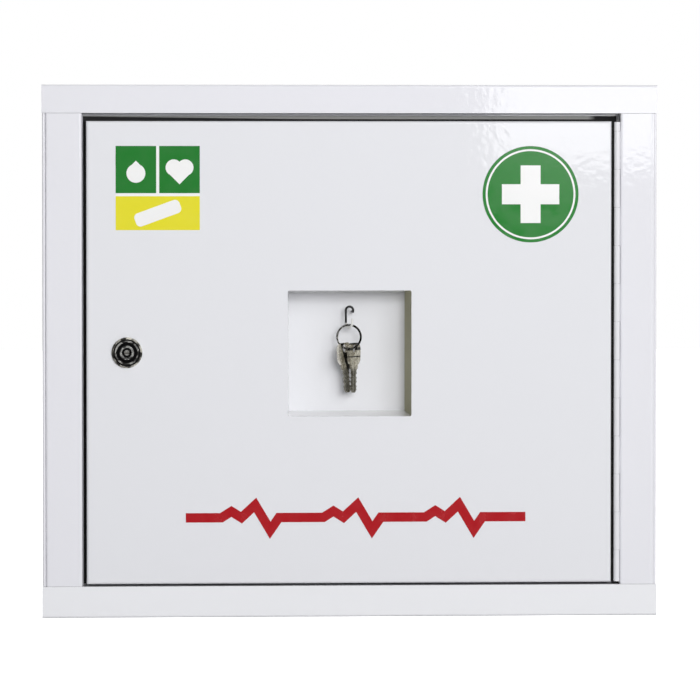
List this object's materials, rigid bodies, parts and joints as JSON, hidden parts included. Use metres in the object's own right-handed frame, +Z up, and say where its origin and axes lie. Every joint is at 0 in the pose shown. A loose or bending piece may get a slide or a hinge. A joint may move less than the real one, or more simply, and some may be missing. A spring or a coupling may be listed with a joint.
{
  "type": "lockable medicine cabinet",
  "caption": "Wall cabinet of folded steel sheet with a hinged locking door, shelves inside and a recess in the door where its keys hang on a hook.",
  "frame": {"origin": "centre of the footprint, on the plane that the cabinet's base lies in", "axes": "+Z up, +X to the right seen from the front, +Y back to the wall; the door faces -Y"},
  "size_m": [0.492, 0.203, 0.425],
  "materials": {
    "white_paint": "white powder coat, fine orange peel, semi-gloss",
    "zinc_steel": "zinc plated",
    "ring_steel": "polished spring steel",
    "rubber": "matt black",
    "black_wire": "black oxide wire",
    "lock_chrome": "bright chrome on die-cast zinc",
    "brass": "plain stamped",
    "key_nickel": "worn nickel plate",
    "green_film": "printed film",
    "label_film": "printed film",
    "red_film": "cut film"
  },
  "bodies": {
    "cabinet": {"back_panel": "white_paint", "top_panel": "white_paint", "bottom_panel": "white_paint", "left_side_panel": "white_paint", "right_side_panel": "white_paint", "left_stile": "white_paint", "right_stile": "white_paint", "shelf_rails": "white_paint", "lower_shelf": "white_paint", "upper_shelf": "white_paint", "door_seal": "rubber", "hinge_frame_leaf": "white_paint", "hinge_pin": "zinc_steel"},
    "door": {"hinge_door_leaf": "white_paint", "door_panel": "white_paint", "key_recess_tray": "white_paint", "key_hook": "black_wire", "hook_nut": "zinc_steel", "round_sign": "green_film", "contents_label": "label_film", "red_stripe": "red_film", "lock_housing": "lock_chrome", "lock_washer": "zinc_steel", "lock_nut": "zinc_steel"},
    "lock": {"lock_cylinder": "lock_chrome", "lock_wafers": "brass", "lock_cam": "zinc_steel", "cam_screw": "zinc_steel"},
    "ring": {"key_ring": "ring_steel"},
    "left_key": {"left_key": "key_nickel"},
    "right_key": {"right_key": "key_nickel"}
  },
  "joints": [
    {"name": "door_hinge", "type": "hinge", "parent": "cabinet", "child": "door", "pos_m": [0.21385, -0.0977, 0.2115], "axis": [0, 0, 1], "range_deg": [0, 150]},
    {"name": "lock_turn", "type": "hinge", "parent": "door", "child": "lock", "pos_m": [-0.1784, -0.0985, 0.2117], "axis": [0, 1, 0], "range_deg": [0, 90]},
    {"name": "ring_swing", "type": "hinge", "parent": "door", "child": "ring", "pos_m": [0.00013, -0.07663, 0.2307], "axis": [0.1736, 0.9848, 0], "range_deg": [-12, 12]},
    {"name": "left_key_swing", "type": "hinge", "parent": "ring", "child": "left_key", "pos_m": [-0.00384, -0.07593, 0.21464], "axis": [-0.7856, 0.6157, -0.0618], "range_deg": [-12, 15]},
    {"name": "right_key_swing", "type": "hinge", "parent": "ring", "child": "right_key", "pos_m": [0.00411, -0.07733, 0.21464], "axis": [-0.8479, 0.5299, 0.0148], "range_deg": [-12, 15]}
  ]
}
